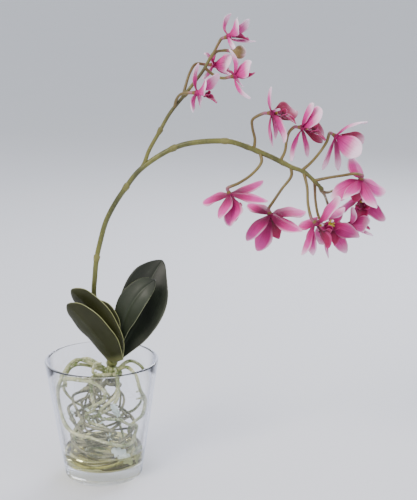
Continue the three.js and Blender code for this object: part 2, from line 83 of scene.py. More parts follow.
class Finish:  # one material and the nodes in it
    def __init__(self, name):
        self.material = bpy.data.materials.new(name)
        self.material.use_nodes = True
        self.tree = self.material.node_tree
        self.tree.nodes.clear()

    def node(self, kind, settings=None, sockets=None, out=0):
        made = self.tree.nodes.new(kind)
        for key, value in (settings or {}).items():
            setattr(made, key, value)
        for key, value in (sockets or {}).items():
            if isinstance(value, Wire):
                self.tree.links.new(value.socket, made.inputs[key])
            else:
                made.inputs[key].default_value = value
        return Wire(self, made.outputs[out])

    def mark(self, name):  # a value kept on the piece's own points
        return self.node("ShaderNodeAttribute", {"attribute_name": name}, out="Fac")

    def place(self, stretch):
        spot = self.node("ShaderNodeTexCoord", out="Object")
        return self.node("ShaderNodeMapping", None, {"Vector": spot, "Scale": stretch})

    def noise(self, scale, detail, stretch=(1, 1, 1)):
        return self.node("ShaderNodeTexNoise", None, {
            "Vector": self.place(stretch), "Scale": scale, "Detail": detail, "Roughness": 0.55}, "Fac")

    def smooth(self, value, low, high):  # 0 below low, 1 above high, with an eased step between them
        return self.node("ShaderNodeMapRange", {"interpolation_type": "SMOOTHSTEP"}, {
            "Value": value, "From Min": low, "From Max": high})

    def blend(self, share, first, second):
        return self.node("ShaderNodeMix", {"data_type": "RGBA"}, {0: share, 6: first, 7: second}, 2)

    def ripple(self, value):  # even stripes from a value in radians
        return self.node("ShaderNodeMath", {"operation": "SINE"}, {0: value})

    def bump(self, height, strength, distance):
        return self.node("ShaderNodeBump", None, {
            "Height": height, "Strength": strength, "Distance": distance})

    def surface(self, sockets):
        return self.node("ShaderNodeBsdfPrincipled", None, sockets)

    def done(self, shader):
        end = self.tree.nodes.new("ShaderNodeOutputMaterial")
        self.tree.links.new(shader.socket, end.inputs["Surface"])
        return self.material


# Mesh helpers
class Skin:  # points, faces and marks of one piece, gathered before its mesh is made
    def __init__(self):
        self.points = []
        self.faces = []
        self.marks = {"along": [], "across": [], "inner": [], "tone": []}

    def point(self, spot, along=0.0, across=0.0, inner=0.0, tone=0.0):
        self.points.append(spot * mm)
        for key, value in (("along", along), ("across", across), ("inner", inner), ("tone", tone)):
            self.marks[key].append(value)
        return len(self.points) - 1

    def joinRings(self, rings):  # a closed solid from rings of as many points each
        sides = len(rings[0])
        for a, b in zip(rings, rings[1:]):
            for k in range(sides):
                j = (k + 1) % sides
                self.faces.append((a[k], a[j], b[j], b[k]))
        self.faces.append(tuple(reversed(rings[0])))
        self.faces.append(tuple(rings[-1]))

    def joinSheets(self, top, under):  # a closed thin solid from two grids of points
        rows, columns = len(top), len(top[0])
        for s in range(rows - 1):
            for c in range(columns - 1):
                self.faces.append((top[s][c], top[s + 1][c], top[s + 1][c + 1], top[s][c + 1]))
                self.faces.append((under[s][c], under[s][c + 1], under[s + 1][c + 1], under[s + 1][c]))
            self.faces.append((top[s][0], under[s][0], under[s + 1][0], top[s + 1][0]))
            self.faces.append((top[s][-1], top[s + 1][-1], under[s + 1][-1], under[s][-1]))
        for c in range(columns - 1):
            self.faces.append((top[0][c], top[0][c + 1], under[0][c + 1], under[0][c]))
            self.faces.append((top[-1][c], under[-1][c], under[-1][c + 1], top[-1][c + 1]))

    def build(self, name, material, nodes):
        mesh = bpy.data.meshes.new(name)
        mesh.from_pydata(self.points, [], self.faces)
        mesh.update()
        for key, values in self.marks.items():
            mesh.attributes.new(key, "FLOAT", "POINT").data.foreach_set("value", values)
        mesh.materials.append(material)
        mesh.shade_smooth()
        piece = bpy.data.objects.new(name, mesh)
        bpy.context.scene.collection.objects.link(piece)
        return settle(piece, nodes)


def settle(piece, nodes):  # a finished piece takes its place in the frame
    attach(piece, "root")
    if nodes:
        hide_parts(*nodes)
    return piece


def through(table, share):  # smooth value through (share, value) pairs
    last = len(table) - 1
    i = max(k for k in range(last) if table[k][0] <= share or k == 0)

    def slope(k):
        low, high = max(k - 1, 0), min(k + 1, last)
        return (table[high][1] - table[low][1]) / (table[high][0] - table[low][0])
    (x0, y0), (x1, y1) = table[i], table[i + 1]
    width = x1 - x0
    t = min(max((share - x0) / width, 0), 1)
    return ((2 * t ** 3 - 3 * t ** 2 + 1) * y0 + (t ** 3 - 2 * t ** 2 + t) * width * slope(i)
            + (3 * t ** 2 - 2 * t ** 3) * y1 + (t ** 3 - t ** 2) * width * slope(i + 1))


def lengthsAlong(line):  # how far along the line each of its spots lies
    lengths = [0.0]
    for p, q in zip(line, line[1:]):
        lengths.append(lengths[-1] + (q - p).length)
    return lengths


def routeThrough(points, step):  # centripetal curve through the points, in even steps
    spots = [Vector(p) for p in points]
    spots = [2 * spots[0] - spots[1]] + spots + [2 * spots[-1] - spots[-2]]
    fine = []
    for p0, p1, p2, p3 in zip(spots, spots[1:], spots[2:], spots[3:]):
        t1 = (p1 - p0).length ** 0.5
        t2 = t1 + (p2 - p1).length ** 0.5
        t3 = t2 + (p3 - p2).length ** 0.5
        count = max(3, round((p2 - p1).length / step * 3))
        for k in range(count):
            t = t1 + (t2 - t1) * k / count
            a1 = p0 + (p1 - p0) * (t / t1)
            a2 = p1 + (p2 - p1) * ((t - t1) / (t2 - t1))
            a3 = p2 + (p3 - p2) * ((t - t2) / (t3 - t2))
            b1 = a1 + (a2 - a1) * (t / t2)
            b2 = a2 + (a3 - a2) * ((t - t1) / (t3 - t1))
            fine.append(b1 + (b2 - b1) * ((t - t1) / (t2 - t1)))
    fine.append(spots[-2])
    lengths = lengthsAlong(fine)
    count = max(4, round(lengths[-1] / step))
    even = []
    k = 0
    for i in range(count + 1):
        want = lengths[-1] * i / count
        while k < len(fine) - 2 and lengths[k + 1] < want:
            k += 1
        span = lengths[k + 1] - lengths[k]
        even.append(fine[k].lerp(fine[k + 1], (want - lengths[k]) / span if span else 0))
    return even


def lineAt(line, share):  # the spot and direction at a share of the line
    spot = share * (len(line) - 1)
    k = min(int(spot), len(line) - 2)
    return line[k].lerp(line[k + 1], spot - k), (line[k + 1] - line[k]).normalized()


def sweep(skin, line, radiusAt, sides, tone=0.0, spread=(1.0, 1.0)):  # round rod with domed ends
    lengths = lengthsAlong(line)
    first, last = (line[1] - line[0]).normalized(), (line[-1] - line[-2]).normalized()
    dome = [math.radians(84), math.radians(50)]
    stations = [(line[0] - first * radiusAt(0) * math.sin(a), first, 0.0, math.cos(a)) for a in dome]
    for i, spot in enumerate(line):
        tangent = (line[min(i + 1, len(line) - 1)] - line[max(i - 1, 0)]).normalized()
        stations.append((spot, tangent, lengths[i] / lengths[-1], 1.0))
    stations += [(line[-1] + last * radiusAt(1) * math.sin(a), last, 1.0, math.cos(a)) for a in dome[::-1]]
    normal = first.orthogonal().normalized()
    rings = []
    for spot, tangent, share, size in stations:
        normal = (normal - tangent * normal.dot(tangent)).normalized()
        side = tangent.cross(normal)
        radius = radiusAt(share) * size
        ring = []
        for k in range(sides):
            turn = 2 * math.pi * k / sides
            out = normal * (math.cos(turn) * spread[0]) + side * (math.sin(turn) * spread[1])
            ring.append(skin.point(spot + out * radius, share, math.cos(turn), 0.0, tone))
        rings.append(ring)
    skin.joinRings(rings)


def turnedRings(skin, profile, sides, seat, along=(0.0, 0.0), tone=0.0, ripple=(0, 0.0)):
    # a closed solid turned about the seat's own Y axis, from (radius, height) pairs without the poles
    rings = []
    for n, (radius, height) in enumerate(profile):
        share = along[0] + (along[1] - along[0]) * n / (len(profile) - 1)
        ring = []
        for k in range(sides):
            turn = 2 * math.pi * k / sides
            reach = radius * (1 + ripple[1] * math.cos(ripple[0] * turn))
            spot = Vector((reach * math.sin(turn), height, reach * math.cos(turn)))
            ring.append(skin.point(seat @ spot, share, math.cos(ripple[0] * turn), 0.0, tone))
        rings.append(ring)
    skin.joinRings(rings)


def blade(skin, stations, columns, edge, core, shape, tone=0.0, insideTintAndShade=1.0):
    # a closed thin blade. Each station is (centre, across, face, half width, share), shape gives how
    # far the skin rises off the flat at a share of the length and of the width, and the last argument
    # is how deeply its inner side is coloured: its own inner tint, and on shaded far petals painted shade
    sides = [2 * c / (columns - 1) - 1 for c in range(columns)]
    sheets = []
    for inner in (1.0, 0.0):
        rows = []
        for centre, across, face, half, share in stations:
            row = []
            for side in sides:
                thickness = min(edge + (core - edge) * (1 - side * side), half * 1.2 + 0.1)
                rise = shape(share, side, half) + (inner - 0.5) * thickness
                spot = centre + across * (half * side) + face * rise
                row.append(skin.point(spot, share, side, inner * insideTintAndShade, tone))
            rows.append(row)
        sheets.append(rows)
    skin.joinSheets(*sheets)


# Finishes
def bloomFinish():
    look = {"deep": "#7c0044", "middle": "#b3176f", "body": "#d8489f", "tip": "#ffe4f4", "vein": "#990a5c",
            "inside": "#8c0036", "stalk": "#7d6a38"}
    make = Finish("petalPink")
    along, across, inner, tone = (make.mark(key) for key in ("along", "across", "inner", "tone"))
    cloud = make.noise(120, 4)
    # tone carries painted light per bloom: the pale tips reach further in on lit blooms and less on shaded
    # ones
    reach = along + (cloud - 0.5) * 0.3 + (tone - 0.5) * 0.5
    side = abs(across)
    body = make.blend(make.smooth(reach, 0.0, 0.3), colour(look["deep"]), colour(look["middle"]))
    body = make.blend(make.smooth(reach, 0.2, 0.62), body, colour(look["body"]))
    body = make.blend(make.smooth(reach, 0.6, 1.06) * 0.92, body, colour(look["tip"]))
    # pale rim along the sides: partly the petals' own paler margin, partly painted highlight on the curled
    # edges
    rim = make.smooth(side, 0.72, 1.0) * make.smooth(along, 0.2, 0.7)
    body = make.blend(rim * 0.6, body, colour(look["tip"]))
    lines = make.smooth(make.ripple(across * 24 + (cloud - 0.5) * 3.4), 0.3, 1.0)
    veins = lines * make.smooth(along, 1.0, 0.3)
    body = make.blend(veins * 0.24, body, colour(look["vein"]))
    midrib = make.smooth(side, 0.14, 0.0) * make.smooth(along, 1.0, 0.2)
    body = make.blend(midrib * 0.4, body, colour(look["vein"]))
    # deep crimson inner face: the petals' own deeper inner tint, plus painted shade on the far petals of
    # blooms a, b and c
    body = make.blend(inner * make.smooth(reach, 1.5, 0.6) * 0.95, body, colour(look["inside"]))
    body = make.blend(make.smooth(along, -0.05, -0.3), body, colour(look["stalk"]))
    fine = make.noise(900, 2)
    height = veins * -0.3 + fine * 0.35
    return make.done(make.surface({
        "Base Color": body, "Roughness": 0.46 + fine * 0.2, "Normal": make.bump(height, 0.5, 0.0006),
        "Subsurface Weight": 0.12, "Subsurface Radius": (1.0, 0.3, 0.5), "Subsurface Scale": 0.0012,
        "Specular IOR Level": 0.35}))


def lipFinish():
    look = {"deep": "#5a0026", "middle": "#9e0a4c", "edge": "#cf4a90", "crest": "#b5ad38"}
    make = Finish("lipCrimson")
    along, across = make.mark("along"), make.mark("across")
    cloud = make.noise(220, 4)
    reach = make.smooth(along + (cloud - 0.5) * 0.5, 0.15, 0.8)
    body = make.blend(reach, colour(look["deep"]), colour(look["middle"]))
    body = make.blend(make.smooth(abs(across), 0.6, 1.0) * 0.55, body, colour(look["edge"]))
    body = make.blend(make.smooth(along, 0.86, 1.0) * 0.6, body, colour(look["edge"]))
    stripe = make.smooth(make.ripple(across * 26 + cloud * 2), 0.4, 1.0) * make.smooth(along, 0.8, 0.3)
    body = make.blend(stripe * 0.6, body, colour(look["deep"]))
    body = make.blend(make.mark("tone"), body, colour(look["crest"]))
    return make.done(make.surface({
        "Base Color": body, "Roughness": 0.4 + cloud * 0.2, "Normal": make.bump(cloud, 0.4, 0.0005),
        "Subsurface Weight": 0.12, "Subsurface Radius": (1.0, 0.25, 0.3), "Subsurface Scale": 0.001,
        "Specular IOR Level": 0.35}))


def leafFinish(name, look):
    make = Finish(name)
    along, across, inner = make.mark("along"), make.mark("across"), make.mark("inner")
    cloud = make.noise(38, 4, (1, 1, 0.5))
    fine = make.noise(260, 3)
    body = make.blend(make.smooth(cloud, 0.3, 0.72), colour(look["dark"]), colour(look["light"]))
    lines = make.ripple(across * 64 + cloud * 5)
    body = make.blend(make.smooth(lines, 0.2, 1.0) * 0.1, body, colour(look["line"]))
    body = make.blend(make.smooth(abs(across), 0.07, 0.0) * 0.35, body, colour(look["line"]))
    body = make.blend(make.smooth(along, 0.12, 0.0) * 0.5, body, colour(look["edge"]))
    body = make.blend(make.smooth(1 - inner, 0.4, 0.6) * 0.3, body, colour(look["under"]))
    # pale rim along the leaf edges: a thin pale margin, plus painted highlight on the edges
    rim = make.smooth(abs(across) + (fine - 0.5) * 0.02, 0.985, 0.998)
    body = make.blend(rim * 0.8, body, colour(look["edge"]))
    height = lines * 0.05 + fine * 0.3 + make.smooth(abs(across), 0.1, 0.0) * -0.8
    return make.done(make.surface({
        "Base Color": body, "Roughness": look["gloss"] + cloud * 0.16,
        "Normal": make.bump(height, 0.4, 0.0007),
        "Coat Weight": look["coat"] * (0.5 + cloud), "Coat Roughness": 0.3, "Specular IOR Level": 0.3}))


def rootFinish(name, look):
    make = Finish(name)
    along, tone = make.mark("along"), make.mark("tone")
    cloud = make.noise(90, 4)
    fine = make.noise(600, 4)
    body = make.blend(make.smooth(cloud, 0.34, 0.62), colour(look["green"]), colour(look["cream"]))
    body = make.blend(make.smooth(fine, 0.48, 0.72) * 0.65, body, colour(look["white"]))
    spots = make.smooth(make.noise(240, 2), 0.64, 0.74)
    body = make.blend(spots * 0.6, body, colour(look["brown"]))
    body = make.blend(make.smooth(along, 0.94, 1.0) * 0.5, body, colour(look["green"]))
    body = make.blend(tone, body, colour(look["mint"]))
    return make.done(make.surface({
        "Base Color": body, "Roughness": 0.5 + fine * 0.3,
        "Normal": make.bump(fine * 0.6 + cloud * 0.4, 0.8, 0.0009),
        "Subsurface Weight": 0.1, "Subsurface Radius": (1.0, 0.9, 0.6), "Subsurface Scale": 0.0015}))


stemBlush = "#a4527a"


def stemFinish(name, look):
    make = Finish(name)
    along, tone = make.mark("along"), make.mark("tone")
    cloud = make.noise(60, 4, (1, 1, 0.35))
    fine = make.noise(420, 3)
    body = make.blend(make.smooth(cloud, 0.35, 0.66), colour(look["dark"]), colour(look["light"]))
    body = make.blend(make.smooth(fine, 0.56, 0.72) * 0.45, body, colour(look["fleck"]))
    body = make.blend(tone, body, colour(look["far"]))
    blush = make.smooth(tone, 0.42, 0.5) * make.smooth(tone, 0.6, 0.52) * make.smooth(along, 0.84, 1.0)
    body = make.blend(blush * 0.75, body, colour(stemBlush))
    return make.done(make.surface({
        "Base Color": body, "Roughness": look["gloss"] + fine * 0.2,
        "Normal": make.bump(fine * 0.5 + cloud * 0.5, 0.45, 0.0006),
        "Coat Weight": 0.25 * cloud + along * 0.02, "Coat Roughness": 0.35}))


def clearFinish(name, look):  # lets the lamps' light through to what is inside
    make = Finish(name)
    ripple = make.noise(look["ripple"], 2)
    solid = make.surface({
        "Base Color": colour(look["tint"]), "Roughness": look["gloss"] + ripple * 0.02, "IOR": look["bend"],
        "Transmission Weight": 1.0, "Normal": make.bump(ripple, look["relief"], 0.0004)})
    unseen = make.node("ShaderNodeBsdfTransparent", None, {"Color": colour(look["shade"])})
    lamp = make.node("ShaderNodeLightPath", out="Is Shadow Ray")
    facing = make.node("ShaderNodeLayerWeight", None, {"Blend": 0.5}, "Facing")
    grazing = make.smooth(facing, 0.5, 0.92) * look["edge"]
    edge = make.node("ShaderNodeMixShader", None, {0: grazing, 1: solid, 2: unseen})
    return make.done(make.node("ShaderNodeMixShader", None, {0: lamp, 1: edge, 2: unseen}))


petalPink = bloomFinish()
lipCrimson = lipFinish()
leafOlive = leafFinish("leafOlive", {
    "dark": "#121303", "light": "#2b2d0a", "line": "#3c4016", "under": "#343610", "edge": "#a3a56c",
    "gloss": 0.5, "coat": 0.12})
# the right leaves' greyer green is partly painted sheen, the soft reflection on their glossy upper faces
leafGreySheen = leafFinish("leafGreySheen", {
    "dark": "#11160b", "light": "#272f1e", "line": "#3c4630", "under": "#232b19", "edge": "#989c74",
    "gloss": 0.46, "coat": 0.2})
rootSkin = rootFinish("rootSkin", {
    "green": "#65733a", "cream": "#bcbd8c", "white": "#eeeed6", "brown": "#77633c", "mint": "#e2efe2"})
# a darker copy of the root finish for the fine strands deep in the tangle: partly older root skin, partly
# painted shade in the tangle's core
rootOldAndShaded = rootFinish("rootOldAndShaded", {
    "green": "#4b5030", "cream": "#8d8b68", "white": "#bab99a", "brown": "#4d3d26", "mint": "#d9e6da"})
stemOlive = stemFinish("stemOlive", {
    "dark": "#40431a", "light": "#6d6d2e", "fleck": "#8a8850", "far": "#7c6134", "gloss": 0.4})
sheathDry = stemFinish("sheathDry", {
    "dark": "#48491f", "light": "#76753a", "fleck": "#a09e62", "far": "#6e6234", "gloss": 0.55})
crownGreen = stemFinish("crownGreen", {
    "dark": "#4c4f20", "light": "#7c8043", "fleck": "#a5a874", "far": "#a8a878", "gloss": 0.45})
budBrown = stemFinish("budBrown", {
    "dark": "#5c4c22", "light": "#8a7848", "fleck": "#a3905e", "far": "#ffd3e4", "gloss": 0.5})
tumblerClear = clearFinish("tumblerClear", {
    "tint": "#fbfcff", "shade": "#f2f4fb", "gloss": 0.0, "bend": 1.46, "ripple": 30, "relief": 0.05,
    "edge": 0.8})
waterAmber = clearFinish("waterAmber", {
    "tint": "#d9d594", "shade": "#e6e2b4", "gloss": 0.0, "bend": 1.33, "ripple": 60, "relief": 0.08,
    "edge": 0.0})
print("finishes made")


# Tumbler and water
def deselect():
    for piece in bpy.context.selected_objects:
        piece.select_set(False)


def drawnUp(name, rings, sides, material, nodes):
    # a disc whose face is pulled through rings of (radius, height), as by hand with extrude and scale
    deselect()
    bpy.ops.mesh.primitive_circle_add(vertices=sides, radius=rings[0][0] * mm, fill_type="NGON",
                                      location=(0, 0, rings[0][1] * mm))
    piece = bpy.context.object
    piece.name = name
    bpy.ops.object.transform_apply(location=True)
    bpy.ops.object.mode_set(mode="EDIT")
    bpy.ops.mesh.select_all(action="SELECT")
    for (radius, height), (nextRadius, nextHeight) in zip(rings, rings[1:]):
        share = nextRadius / radius
        bpy.ops.mesh.extrude_region_move(TRANSFORM_OT_translate={"value": (0, 0, (nextHeight - height) * mm)})
        bpy.ops.transform.resize(value=(share, share, 1), center_override=(0, 0, nextHeight * mm))
    bpy.ops.mesh.select_all(action="SELECT")
    bpy.ops.mesh.normals_make_consistent(inside=False)
    bpy.ops.object.mode_set(mode="OBJECT")
    piece.data.materials.append(material)
    piece.data.shade_smooth()
    bpy.ops.object.shade_smooth_by_angle(angle=math.radians(38))
    deselect()
    return settle(piece, nodes)


tumbler = {"height": 92.0, "rimRadius": 42.95, "footRadius": 29.45, "wall": 2.5, "floor": 10.5,
           "footRound": 1.6, "sides": 144}
taper = (tumbler["rimRadius"] - tumbler["footRadius"]) / tumbler["height"]


def wallInside(z):
    return tumbler["footRadius"] - tumbler["wall"] + taper * z


def rounded(centre, radius, start, end, steps):
    turns = [math.radians(start + (end - start) * k / steps) for k in range(steps + 1)]
    return [(centre[0] + radius * math.cos(t), centre[1] + radius * math.sin(t)) for t in turns]


def tumblerRings():
    t = tumbler
    foot = rounded((t["footRadius"] - t["footRound"] + 0.1, t["footRound"]), t["footRound"], -90, 0, 6)
    lipHalf = t["wall"] / 2
    rim = rounded((t["rimRadius"] - lipHalf, t["height"] - lipHalf), lipHalf, 0, 180, 10)
    wall = [(t["footRadius"] + taper * z, z) for z in (8, 20, 40, 60, 80)]
    inside = [(wallInside(z), z) for z in (80, 60, 40, 24, t["floor"] + 5)]
    curve = rounded((wallInside(t["floor"] + 5) - 5, t["floor"] + 5), 5, 0, -84, 6)
    under = [(8, 0.35), (t["footRadius"] - 6.5, 0.35), (t["footRadius"] - 5, 0)]
    floor = [(12, t["floor"] - 0.15), (3, t["floor"] - 0.3)]
    return under + foot + wall + rim + inside + curve[1:] + floor


drawnUp("tumblerGlass", tumblerRings(), tumbler["sides"], tumblerClear, ["glass"])

water = {"level": 20.5, "bite": 0.05, "meniscus": 0.7, "sides": 96}


def waterRings():  # it bites a hair into the glass, so no air shows between the two
    low = tumbler["floor"] - water["bite"]
    level, bite = water["level"], water["bite"]
    curve = rounded((wallInside(tumbler["floor"] + 5) - 5, tumbler["floor"] + 5), 5 + bite, -84, 0, 6)
    return [(6, low)] + curve + [
        (wallInside(level + water["meniscus"]) + bite, level + water["meniscus"]),
        (wallInside(level) - 0.4, level + 0.25), (wallInside(level) - 1.3, level - 0.1),
        (wallInside(level) - 3.0, level - 0.2), (4, level - 0.2)]


drawnUp("waterPool", waterRings(), water["sides"], waterAmber, ["water"])
print("tumbler and water made")


# Roots and crown
crown = {"at": (8, 1, 86), "height": 21, "radius": 4.5, "sides": 40, "knot": (8, 1, 79.5)}
root = {"radius": 1.35, "sides": 12, "step": 1.1, "swell": 0.16, "flat": (1.0, 0.88)}
# Each root's points: [degrees round the tumbler from its front, share of the inner radius, height]
rootRoutes = [
  [[-90, 0.44, 91], [-79, 0.55, 90.5], [-65, 0.72, 87], [-58, 0.89, 80], [-70, 0.93, 66], [-70, 0.93, 54],
    [-56, 0.93, 46], [-42, 0.9, 41], [-13, 0.86, 39], [15, 0.85, 34], [40, 0.85, 30], [64, 0.85, 31],
    [74, 0.8, 36]],
  [[-70, 0.1, 88], [-28, 0.28, 88], [-20, 0.38, 85], [10, 0.4, 84], [40, 0.34, 83]],
  [[34, 0.5, 84], [27, 0.8, 82], [22, 0.85, 73], [2, 0.85, 62], [3, 0.85, 56], [28, 0.85, 53], [46, 0.85, 47],
    [68, 0.85, 42], [60, 0.85, 33], [54, 0.84, 24], [30, 0.82, 17], [0, 0.82, 14.5], [-30, 0.82, 13.6],
    [-60, 0.8, 15]],
  [[72, 0.5, 87], [58, 0.8, 84], [58, 0.9, 75], [70, 0.93, 65], [80, 0.93, 57], [70, 0.93, 51],
    [55, 0.86, 47], [62, 0.7, 38], [80, 0.78, 28], [95, 0.84, 20], [122, 0.85, 14.5], [150, 0.84, 14]],
  [[-105, 0.5, 85], [-80, 0.82, 79], [-60, 0.84, 79.5], [-49, 0.82, 82], [-20, 0.8, 84], [-5, 0.8, 83],
    [7, 0.8, 77], [8, 0.8, 71], [-4, 0.8, 66], [-18, 0.74, 62]],
  [[-22, 0.45, 82], [-16, 0.6, 77], [-15, 0.6, 69], [-12, 0.6, 59], [-31, 0.6, 54], [-21, 0.6, 48],
    [4, 0.6, 45], [22, 0.55, 40], [20, 0.45, 32], [-20, 0.5, 26], [-50, 0.66, 19], [-76, 0.76, 16]],
  [[-140, 0.55, 86], [-130, 0.86, 78], [-110, 0.92, 66], [-125, 0.92, 52], [-150, 0.9, 40], [-130, 0.88, 28],
    [-105, 0.86, 19], [-84, 0.84, 14.5]],
  [[118, 0.6, 86], [112, 0.84, 80], [130, 0.92, 68], [112, 0.92, 56], [128, 0.9, 44], [158, 0.88, 34],
    [140, 0.7, 25], [100, 0.5, 22.5], [40, 0.5, 24]],
  [[172, 0.5, 82], [178, 0.84, 72], [-165, 0.9, 60], [175, 0.9, 50], [-172, 0.8, 38], [-120, 0.6, 32],
    [-60, 0.62, 34], [-30, 0.7, 30], [10, 0.66, 27]],
  [[80, 0.35, 66], [30, 0.4, 57], [-30, 0.45, 50], [-90, 0.5, 42], [-80, 0.7, 34], [-50, 0.8, 33]],
]


def onWall(around, share, z):
    reach = share * wallInside(z)
    return (reach * math.sin(math.radians(around)), -reach * math.cos(math.radians(around)), z)


def swelling(radius, size, phase):  # a root or stem is never quite even
    def radiusAt(share):
        wave = math.sin(share * 23 + phase) + 0.6 * math.sin(share * 57 + 2.3 * phase)
        ends = 1 - 0.45 * max(0.0, (share - 0.93) / 0.07) ** 2
        return radius * (1 + size * 0.5 * wave) * ends
    return radiusAt


strand = {"count": 12, "thin": 0.8, "thick": 1.25, "sides": 9, "step": 1.5}


def strandRoute(low):  # a finer root that wanders down through the middle of the tangle
    around = chance.uniform(-180, 180)
    share = chance.uniform(0.15, 0.35)
    z = chance.uniform(72, 78)
    sway = chance.choice((-1, 1))
    points = [crown["knot"]]
    while z > low:
        points.append(onWall(around, share, z))
        if chance.random() < 0.3:
            sway = -sway
        around += sway * chance.uniform(28, 52)
        share = min(max(share + chance.uniform(-0.12, 0.2), 0.16), 0.78)
        z -= chance.uniform(1, 9)
    return points + [onWall(around + sway * 30, min(share + 0.1, 0.8), low)]


def coilRoute(start, turn, low):  # a finer root that lies round the floor of the tumbler
    points = []
    for k in range(9):
        share = 0.72 + 0.12 * math.sin(k * 1.9 + start)
        points.append(onWall(start + turn * k, share, low + 2.2 * math.sin(k * 1.3 + start) + 0.5 * k))
    return points


def side(line, place):  # the line's spot and a level direction across it
    spot, along = lineAt(line, place)
    return spot, along, along.cross(Vector((0, 0, 1))).normalized()


def hairs(skin, line, first, last, count):  # the frayed edge of an old root
    for k in range(count):
        spot, along, across = side(line, first + (last - first) * k / count)
        out = (across * chance.choice((-1, 1)) + along * chance.uniform(-0.6, 0.6)).normalized()
        reach = chance.uniform(1.4, 2.7)
        inward = (Vector((0, 0, spot.z)) - spot).normalized() * 0.6
        sweep(skin, [spot, spot + out * reach * 0.5, spot + (out + inward) * reach],
              lambda share: 0.3 - 0.2 * share, 5, 0.7)


def tuft(skin, spot, size):  # a burst of pale new root tips
    inward = (Vector((0, 0, spot.z)) - spot).normalized()
    for k in range(9):
        out = Vector([chance.uniform(-1, 1) for _ in range(3)]).normalized() + inward * 0.5
        tip = [spot, spot + out * size * 0.5, spot + out * size]
        sweep(skin, tip, lambda share: 0.55 - 0.38 * share, 6, 1.0)


def shred(skin, spot, turn, length, width, tone):  # a papery strip of old skin
    along = Vector((math.cos(turn), 0.3, math.sin(turn))).normalized()
    stations = []
    for n in range(26):
        share = n / 25
        face = Vector((math.sin(share * 2), -1, math.cos(share * 3))).normalized()
        centre = spot + along * length * share + Vector((0, 0, 1.2 * math.sin(share * 4)))
        across = face.cross(along).normalized()
        ragged = 0.8 + 0.2 * math.sin(share * 29 + turn)
        half = width * (0.2 + math.sin(3.0 * share + 0.1)) * ragged / 2
        stations.append((centre, across, along.cross(across), half, share))

    def shape(share, side, half):
        return 0.5 * math.sin(side * 3 + share * 5)
    blade(skin, stations, 9, 0.25, 0.4, shape, tone)


def rootTangle():
    skin = Skin()
    lines = []
    for n, route in enumerate(rootRoutes):
        line = routeThrough([crown["knot"]] + [onWall(*spot) for spot in route], root["step"])
        lines.append(line)
        uneven = swelling(root["radius"] * 0.97, root["swell"], n * 1.7)
        sweep(skin, line, uneven, root["sides"], 0.0, root["flat"])
        for k in range(2):  # short side roots, as buds on the root's skin
            base = line[round(len(line) * (0.35 + 0.3 * k + 0.1 * chance.random()))]
            inward = (Vector((0, 0, base.z)) - base).normalized()
            turn = Vector((chance.uniform(-1, 1), chance.uniform(-1, 1), chance.uniform(-0.6, 0.2))) * 2.4
            bud = [base, base + inward * 2.2 + turn * 0.4, base + inward * 5 + turn]
            sweep(skin, routeThrough(bud, 0.9), swelling(0.75, 0.1, n), 8)
    for k in range(7):  # the knot of old root bases under the crown
        turn = 2 * math.pi * k / 7
        out = Vector((math.cos(turn), math.sin(turn), 0))
        middle = Vector(crown["knot"])
        bend = [middle + out * 2 + Vector((0, 0, 4.6)), middle + out * 5.4 + Vector((0, 0, 1.5)),
                middle + out * 4.6 - Vector((0, 0, 3.4)), middle - out * 1.5 - Vector((0, 0, 4.4))]
        sweep(skin, routeThrough(bend, 0.9), swelling(1.7, 0.15, k), 10)
    # the fine strands take the darker root finish, partly painted shade deep in the tangle
    olderShadedStrands = Skin()
    finer = [strandRoute(chance.uniform(16, 44)) for _ in range(strand["count"])]
    finer += [coilRoute(*coil) for coil in [(-60, 34, 14), (40, -38, 17), (150, 30, 19)]]
    for n, points in enumerate(finer):
        radius = chance.uniform(strand["thin"], strand["thick"])
        line = routeThrough(points, strand["step"])
        sweep(olderShadedStrands, line, swelling(radius, 0.2, n), strand["sides"], 0.0, root["flat"])
        if n % 3 == 0:
            tuft(olderShadedStrands, line[round(len(line) * 0.6)], 4.2)
    hairs(skin, lines[3], 0.16, 0.5, 46)
    hairs(skin, lines[0], 0.5, 0.7, 14)
    for place in (0.42, 0.55, 0.9):
        tuft(skin, lines[5][round(len(lines[5]) * place)], 4.8)
    for spot, turn, length, width, tone in [
            ((8.6, -24, 64.5), -1.15, 12, 5.5, 1.0), ((9, -23, 58), -0.4, 6, 3, 0.9),
            ((8, -23, 28), -0.75, 20, 9, 0.9), ((13, -22, 21), -0.2, 10, 5, 0.8),
            ((30, -12, 26), -2.15, 14, 6, 0.15), ((24, -15, 22), -1.5, 9, 4, 0.4)]:
        shred(skin, Vector(spot), turn, length, width, tone)
    olderShadedStrands.build("rootStrands", rootOldAndShaded, ["roots"])
    return skin.build("rootTangle", rootSkin, ["roots"])


rootTangle()


def crownStack():  # clasping leaf bases, one round the next
    skin = Skin()
    x, y, z = crown["at"]
    up = Matrix(((1, 0, 0), (0, 0, -1), (0, 1, 0)))
    for level, (low, high, wide, shift) in enumerate([
            (0, 13, 1.0, 0.0), (3, 17, 0.86, 0.5), (8, crown["height"], 0.62, -0.3)]):
        radius = crown["radius"] * wide
        rings = [(radius * 0.5, low), (radius * 0.86, low + 0.6), (radius, low + 3), (radius * 0.97, low + 6),
                 (radius * 0.84, high - 3), (radius * 0.72, high - 0.6), (radius * 0.6, high)]
        seat = Matrix.Translation((x + shift, y, z)) @ up.to_4x4()
        turnedRings(skin, rings, crown["sides"], seat, (0, 1), 0.25 * level, (2, 0.06))
    return skin.build("crownBase", crownGreen, ["crown"])


crownStack()
print("roots and crown made")


